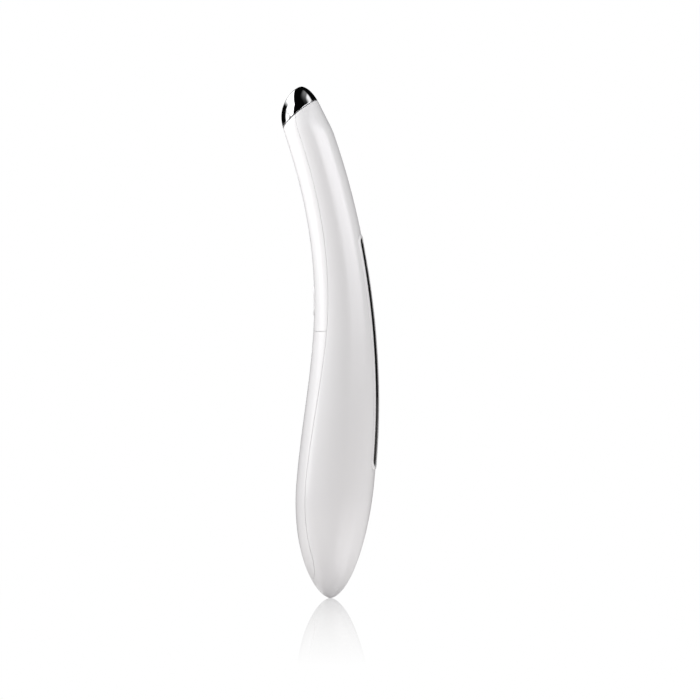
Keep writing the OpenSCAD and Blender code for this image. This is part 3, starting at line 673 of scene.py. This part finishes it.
def objectPlace(shade, scale=(1, 1, 1), turn=(0, 0, 0)):
    place = shade.add("ShaderNodeTexCoord", out=3)
    return shade.add("ShaderNodeMapping", inputs={"Vector": place, "Scale": scale, "Rotation": turn})


def noise(shade, scale, detail=2.0, stretch=(1, 1, 1)):
    place = objectPlace(shade, stretch)
    return shade.add("ShaderNodeTexNoise", inputs={"Vector": place, "Scale": scale, "Detail": detail})


def mixColour(shade, factor, a, b):
    return shade.add("ShaderNodeMix", {"data_type": "RGBA"}, {0: factor, 6: a, 7: b}, out=2)


def startMaterial(name):
    material = bpy.data.materials.new(name)
    material.use_nodes = True
    tree = material.node_tree
    surface = tree.nodes["Principled BSDF"]
    return material, Shade(tree), surface


def feed(shade, surface, **sockets):
    # Links or values for the surface's sockets, whose names are written without spaces
    names = {s.name.replace(" ", ""): s for s in surface.inputs}
    for key, value in sockets.items():
        if isinstance(value, Shade):
            shade.tree.links.new(value.socket, names[key])
        else:
            names[key].default_value = value


def bumped(shade, height, strength, distance):
    return shade.add("ShaderNodeBump", inputs={"Height": height, "Strength": strength, "Distance": distance})


def pearlPlastic():
    # White moulded plastic under a clear coat: soft clouding, faint flow lines and a fine orange peel
    material, shade, surface = startMaterial("pearl_plastic")
    cloud = noise(shade, 40, 3.0)
    flow = noise(shade, 160, 2.0, (1, 1, 0.05))
    peel = noise(shade, 900, 2.0)
    tone = (cloud * 0.6 + flow * 0.4).clamp()
    feed(shade, surface,
         BaseColor=mixColour(shade, tone, rgb(0.734, 0.733, 0.748), rgb(0.796, 0.795, 0.806)),
         Roughness=0.27 + 0.08 * flow,
         CoatWeight=0.55 + 0.15 * cloud,
         CoatRoughness=0.16, IOR=1.5, CoatIOR=1.5,
         Normal=bumped(shade, peel * 0.7 + flow * 0.3, 0.08, 0.00002))
    return material


def polishedMetal():
    # Mirror plating with the faintest haze and polishing marks
    material, shade, surface = startMaterial("polished_metal")
    haze = noise(shade, 260, 3.0)
    marks = noise(shade, 1400, 1.0, (1, 1, 0.1))
    feed(shade, surface,
         BaseColor=mixColour(shade, haze, rgb(0.90, 0.90, 0.91), rgb(0.96, 0.96, 0.965)),
         Metallic=1.0,
         Roughness=0.025 + 0.03 * haze,
         Normal=bumped(shade, marks, 0.03, 0.00001))
    return material


def smokedPlastic():
    # Black see-into plastic, polished, with dust-fine variation
    material, shade, surface = startMaterial("smoked_plastic")
    cloud = noise(shade, 120, 3.0)
    feed(shade, surface,
         BaseColor=mixColour(shade, cloud, rgb(0.008, 0.008, 0.009), rgb(0.018, 0.018, 0.02)),
         Roughness=0.08 + 0.06 * cloud,
         CoatWeight=0.6 + 0.2 * cloud, CoatRoughness=0.04,
         Normal=bumped(shade, noise(shade, 700, 1.0), 0.03, 0.00001))
    return material


def plainFinish(name, dark, light, rough, metallic=0.0, scale=300, stretch=(1, 1, 1), bump=0.15):
    # Two close tones clouded together, with the same clouding in its gloss and grain
    material, shade, surface = startMaterial(name)
    cloud = noise(shade, scale, 3.0, stretch)
    grain = noise(shade, scale * 5, 2.0, stretch)
    feed(shade, surface,
         BaseColor=mixColour(shade, cloud, rgb(*dark), rgb(*light)),
         Metallic=metallic,
         Roughness=(rough - 0.06) + 0.12 * cloud,
         Normal=bumped(shade, grain, bump, 0.00003))
    return material


def banded(name, dark, light, axisTurn, scale, rough, metallic):
    # Fine turns of wire as a band pattern across the axis
    material, shade, surface = startMaterial(name)
    place = objectPlace(shade, turn=axisTurn)
    wave = shade.add("ShaderNodeTexWave", {"bands_direction": "Z"},
                     {"Vector": place, "Scale": scale, "Distortion": 0.4})
    cloud = noise(shade, 500, 2.0)
    feed(shade, surface,
         BaseColor=mixColour(shade, (wave * 0.7 + cloud * 0.3).clamp(), rgb(*dark), rgb(*light)),
         Metallic=metallic, Roughness=rough + 0.1 * cloud,
         Normal=bumped(shade, wave, 0.5, 0.0001))
    return material


def boardFinish():
    # Green solder mask with darker ground and lighter tracks in a squared pattern
    material, shade, surface = startMaterial("solder_mask")
    place = objectPlace(shade, (1, 1, 1))
    cells = shade.add("ShaderNodeTexVoronoi", {"distance": "MANHATTAN", "feature": "DISTANCE_TO_EDGE"},
                      {"Vector": place, "Scale": 420.0, "Randomness": 0.35})
    track = (1 - cells * 9).clamp()
    cloud = noise(shade, 300, 2.0)
    feed(shade, surface,
         BaseColor=mixColour(shade, track * 0.8 + cloud * 0.2,
                             rgb(0.006, 0.075, 0.03), rgb(0.02, 0.2, 0.07)),
         Roughness=0.28 + 0.12 * cloud,
         Normal=bumped(shade, track, 0.3, 0.00003))
    return material


def cellWrap():
    # A printed sleeve: dark lower part, light upper part and one thin plain ring between them
    material, shade, surface = startMaterial("cell_sleeve")
    place = objectPlace(shade)
    split = shade.add("ShaderNodeSeparateXYZ", inputs={0: place}, out=2)
    low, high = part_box("battery_cell")
    share = (split - low[2]) / (high[2] - low[2])
    upper = ((share - 0.72) * 400).clamp()
    ring = ((share - 0.68) * 400).clamp() * (1 - ((share - 0.70) * 400).clamp())
    metal = ((share - 0.975) * 400).clamp() + (1 - ((share - 0.012) * 400).clamp())
    colour = mixColour(shade, upper, rgb(0.02, 0.05, 0.12), rgb(0.62, 0.60, 0.55))
    colour = mixColour(shade, ring, colour, rgb(0.75, 0.72, 0.65))
    colour = mixColour(shade, metal.clamp(), colour, rgb(0.72, 0.72, 0.72))
    feed(shade, surface, BaseColor=colour, Metallic=metal.clamp(),
         Roughness=0.26 + 0.1 * noise(shade, 400, 3.0),
         Normal=bumped(shade, noise(shade, 900, 2.0), 0.1, 0.00002))
    return material


print("materials")
pearl = pearlPlastic()
mirror = polishedMetal()
smoked = smokedPlastic()
finishes = {
    "rubber": plainFinish("dark_rubber", (0.025, 0.025, 0.026), (0.05, 0.05, 0.05), 0.6,
                          scale=500, bump=0.3),
    "natural": plainFinish("natural_plastic", (0.62, 0.62, 0.60), (0.72, 0.72, 0.70), 0.42, bump=0.2),
    "pad": plainFinish("soft_pad", (0.30, 0.42, 0.52), (0.40, 0.52, 0.62), 0.7, scale=700, bump=0.4),
    "ceramic": plainFinish("ceramic", (0.78, 0.76, 0.72), (0.86, 0.85, 0.82), 0.5, scale=900, bump=0.25),
    "resin": plainFinish("sensor_resin", (0.16, 0.06, 0.03), (0.24, 0.10, 0.05), 0.3, scale=600),
    "steel": plainFinish("plated_steel", (0.52, 0.52, 0.53), (0.66, 0.66, 0.67),
                         0.26, 1.0, stretch=(1, 1, 0.15)),
    "bronze": plainFinish("sintered_bronze", (0.42, 0.22, 0.09), (0.58, 0.34, 0.16),
                          0.42, 1.0, scale=1200, bump=0.4),
    "winding": banded("copper_winding", (0.30, 0.08, 0.03), (0.72, 0.28, 0.12),
                      (0, math.radians(13.3), 0), 900, 0.32, 0.8),
    "tungsten": plainFinish("sintered_weight", (0.16, 0.16, 0.17), (0.28, 0.28, 0.29),
                            0.45, 0.9, scale=1000, bump=0.4),
    "board": boardFinish(),
    "blackParts": plainFinish("black_moulding", (0.012, 0.012, 0.012), (0.03, 0.03, 0.03),
                              0.38, scale=900, bump=0.3),
    "tanParts": plainFinish("capacitor_tan", (0.40, 0.27, 0.14), (0.52, 0.37, 0.20), 0.4, scale=900),
    "ivory": plainFinish("ivory_plastic", (0.70, 0.66, 0.55), (0.78, 0.74, 0.64), 0.4),
    "wrap": cellWrap(),
    "spring": plainFinish("spring_nickel", (0.60, 0.58, 0.54), (0.75, 0.73, 0.70), 0.2, 1.0, scale=800),
    "red": plainFinish("red_insulation", (0.35, 0.015, 0.012), (0.48, 0.03, 0.02), 0.4, scale=800),
    "white": plainFinish("white_insulation", (0.66, 0.65, 0.62), (0.76, 0.75, 0.72), 0.45, scale=800),
}
wearing = {
    "rubber": ["head_seal", "motor_sleeve"],
    "natural": ["head_collar", "battery_tray"],
    "blackParts": ["heater_holder", "controller_chip", "boost_coil", "switch_body"],
    "pad": ["thermal_pad"], "ceramic": ["heater"], "resin": ["heat_sensor"],
    "steel": ["motor_can", "motor_shaft", "board_screws", "tray_screws"],
    "ivory": ["motor_cap", "switch_plunger"],
    "bronze": ["motor_bush"], "winding": ["motor_rotor"], "tungsten": ["swinging_weight"],
    "board": ["circuit_board"], "tanParts": ["board_capacitors"], "wrap": ["battery_cell"],
    "spring": ["positive_contact", "negative_contact", "battery_spring"],
    "red": ["battery_leads", "motor_leads"], "white": ["heater_leads"],
}
for finish, names in wearing.items():
    for name in names:
        nodes[name].data.materials.clear()
        nodes[name].data.materials.append(finishes[finish])


def settle(piece, material, bodyName, slot, *stoodFor):
    piece.data.materials.clear()
    piece.data.materials.append(material)
    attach(piece, bodyName)
    if stoodFor:
        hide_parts(*stoodFor)


settle(backShell, pearl, "root", "shell", "back_shell")
settle(frontShell, pearl, "root", "shell", "front_shell")
settle(batteryCover, pearl, "cover", "shell", "battery_cover")
settle(stripSurround, pearl, "root", "shell")
settle(rearRibs, pearl, "root", "shell")
settle(frontRibs, pearl, "root", "shell")
settle(doorTongues, pearl, "cover", "shell")
settle(smokedStrip, smoked, "root", "strip", "back_strip")
settle(metalHead, mirror, "root", "head", "massage_head")
settle(pushButton, pearl, "button", "button", "power_button")

# ---- Floor, light and camera ----

studio = {
    "azimuth": 12.0, "distance": 0.94, "lens": 150.0, "aimRight": 0.0066, "aimUp": 0.0799,
    "middle": 0.1, "panelDistance": 0.9,
    "floorSize": 8.0, "mirror": 0.55, "mirrorReach": 0.2,
    "shadeReach": 0.035, "nearFloor": 0.29, "poolReach": 0.12, "pool": 1.15, "farFloor": 0.9,
    "glossDim": 0.9, "fill": 0.575, "dark": 0.002,
}


def makeFloor():
    half = studio["floorSize"] / 2
    mesh = bpy.data.meshes.new("floor")
    corners = [(-half, -half, 0), (half, -half, 0), (half, half, 0), (-half, half, 0)]
    mesh.from_pydata(corners, [], [(0, 1, 2, 3)])
    floor = bpy.data.objects.new("floor", mesh)
    bpy.context.scene.collection.objects.link(floor)
    material = bpy.data.materials.new("pale_floor")
    material.use_nodes = True
    tree = material.node_tree
    tree.nodes.clear()
    shade = Shade(tree)
    place = objectPlace(shade)
    reach = shade.add("ShaderNodeVectorMath", {"operation": "LENGTH"}, {0: place}, out=1)
    fade = (1 - reach / studio["mirrorReach"]).clamp() * studio["mirror"]
    # The camera sees it white. The soft light takes a warm bounce from it, with a painted shadow
    # round the tail and a painted pool of brighter light around that, and the gloss of the pieces
    # finds it dark, as it finds the room.
    seen = shade.add("ShaderNodeLightPath", out=0)
    glossed = shade.add("ShaderNodeLightPath", out=3)
    # Painted shadow: the bounce dims towards the tail. Painted pool of light: it brightens in a ring round
    # that.
    near = (reach / studio["shadeReach"]).clamp()
    pool = (1 - (reach - studio["shadeReach"]) / studio["poolReach"]).clamp()
    shaded = studio["nearFloor"] + (1 - studio["nearFloor"]) * near
    bounce = (studio["farFloor"] + studio["pool"] * pool) * shaded * (1 - glossed * studio["glossDim"])
    tint = mixColour(shade, seen, rgb(1.0, 0.962, 0.94), rgb(1, 1, 1))
    glow = shade.add("ShaderNodeEmission", inputs={"Color": tint, "Strength": seen + (1 - seen) * bounce})
    gloss = shade.add("ShaderNodeBsdfGlossy", inputs={"Color": rgb(1, 1, 1), "Roughness": 0.0})
    both = shade.add("ShaderNodeMixShader", inputs={0: fade, 1: glow, 2: gloss})
    shade.add("ShaderNodeOutputMaterial", inputs={"Surface": both})
    mesh.materials.append(material)
    material.cycles.emission_sampling = "NONE"
    floor.visible_shadow = False


def direction(azimuth, elevation=0.0):
    # The way from the object, where azimuth 0 is towards -Y and 90 towards +X
    a, e = math.radians(azimuth), math.radians(elevation)
    return np.array([math.sin(a) * math.cos(e), -math.cos(a) * math.cos(e), math.sin(e)])


def facing(azimuth, elevation, distance):
    # The matrix of something at this distance that faces the object's middle with its +Z
    back = direction(studio["azimuth"] + azimuth, elevation)
    right = direction(studio["azimuth"] + azimuth + 90)
    top = np.cross(back, right)
    place = back * distance + np.array([0, 0, studio["middle"]])
    return Matrix([[right[i], top[i], back[i], place[i]] for i in range(3)] + [[0, 0, 0, 1]])


def softPanel(name, azimuth, elevation, across, upward, strength, soft, colour=(1, 1, 1)):
    # A glowing panel that only the gloss shows. Its extents across and upward and its soft
    # margins, left, right, low and high, are given as shares of its distance.
    distance = studio["panelDistance"]
    mesh = bpy.data.meshes.new(name)
    corners = [(across[i] * distance, upward[j] * distance, 0) for i, j in [(0, 0), (0, 1), (1, 1), (1, 0)]]
    mesh.from_pydata(corners, [], [(0, 1, 2, 3)])
    panel = bpy.data.objects.new(name, mesh)
    bpy.context.scene.collection.objects.link(panel)
    panel.matrix_world = facing(azimuth, elevation, distance)
    material = bpy.data.materials.new(name)
    material.use_nodes = True
    tree = material.node_tree
    tree.nodes.clear()
    shade = Shade(tree)
    level = strength
    sides = [(0, across[0], 1), (0, across[1], -1), (1, upward[0], 1), (1, upward[1], -1)]
    for (axis, edge, way), margin in zip(sides, soft):
        along = shade.add("ShaderNodeSeparateXYZ", inputs={0: objectPlace(shade)}, out=axis)
        level = level * shade.add("ShaderNodeMapRange", {"interpolation_type": "SMOOTHSTEP"},
                                  {"Value": (along - edge * distance) * way, "From Max": margin * distance})
    glow = shade.add("ShaderNodeEmission", inputs={"Color": rgb(*colour), "Strength": level})
    clear = shade.add("ShaderNodeBsdfTransparent")
    both = shade.add("ShaderNodeAddShader", inputs={0: glow, 1: clear})
    shade.add("ShaderNodeOutputMaterial", inputs={"Surface": both})
    mesh.materials.append(material)
    panel.visible_camera = False
    panel.visible_diffuse = False
    panel.visible_shadow = False


def fillLight(name, azimuth, elevation, distance, size, radiance):
    # A square lamp for the soft light alone, which the gloss doesn't show
    data = bpy.data.lights.new(name, "AREA")
    data.size = size
    data.energy = radiance * size * size * math.pi
    lamp = bpy.data.objects.new(name, data)
    bpy.context.scene.collection.objects.link(lamp)
    lamp.matrix_world = facing(azimuth, elevation, distance)
    lamp.visible_camera = False
    lamp.visible_glossy = False


def makeWorld():
    # White where the camera or the floor's mirror looks past the object, a dark studio for the
    # gloss of the pieces, and an even fill for their soft light
    world = bpy.data.worlds.new("studio")
    bpy.context.scene.world = world
    world.use_nodes = True
    tree = world.node_tree
    tree.nodes.clear()
    shade = Shade(tree)
    seen = shade.add("ShaderNodeLightPath", out=0)
    gloss = shade.add("ShaderNodeLightPath", out=3)
    sharp = shade.add("ShaderNodeLightPath", out=4)
    white = (seen + sharp).clamp()
    level = white + (1 - white) * (gloss * studio["dark"] + (1 - gloss) * studio["fill"])
    back = shade.add("ShaderNodeBackground", inputs={"Color": rgb(1, 1, 1), "Strength": level})
    shade.add("ShaderNodeOutputWorld", inputs={"Surface": back})


def makeCamera():
    data = bpy.data.cameras.new("camera")
    data.lens = studio["lens"]
    data.clip_start, data.clip_end = 0.05, 50
    camera = bpy.data.objects.new("camera", data)
    bpy.context.scene.collection.objects.link(camera)
    back = direction(studio["azimuth"])
    right = direction(studio["azimuth"] + 90)
    place = back * studio["distance"] + right * studio["aimRight"] + np.array([0, 0, studio["aimUp"]])
    top = (0, 0, 1)
    camera.matrix_world = Matrix([[right[i], top[i], back[i], place[i]] for i in range(3)] + [[0, 0, 0, 1]])
    bpy.context.scene.camera = camera


print("stage")
makeFloor()
makeWorld()
softPanel("left_panel", -95, 0, (-0.28, 0.84), (0.26, 1.38), 1.9, (0.24, 0.03, 0.22, 0.06))
softPanel("left_low_panel", -95, 0, (-0.28, 0.36), (-0.6, 0.44), 1.6, (0.24, 0.12, 0.1, 0.22))
softPanel("left_rear_panel", -95, 0, (-1.9, -0.12), (0.52, 1.38), 2.0, (0.1, 0.1, 0.34, 0.06))
softPanel("right_panel", 52, 25, (-0.78, 0.78), (-0.44, 0.44), 3.9, (0.45, 0.4, 0.42, 0.3),
          (0.98, 0.97, 1.0))
softPanel("upper_right_panel", 78, 58, (-0.34, 0.26), (-0.26, 0.22), 0.95, (0.3, 0.16, 0.16, 0.16))
softPanel("upper_dim_panel", 66, 66, (-0.5, 0.3), (-0.24, 0.5), 0.19, (0.6, 0.1, 0.4, 0.3))
fillLight("left_fill", -95, 30, 0.14, 0.12, 3.1)
fillLight("front_left_fill", -55, 50, 0.24, 0.12, 4.3)
fillLight("right_fill", 98, 30, 0.4, 0.25, 2.7)
makeCamera()
bpy.context.scene.view_settings.view_transform = "Standard"
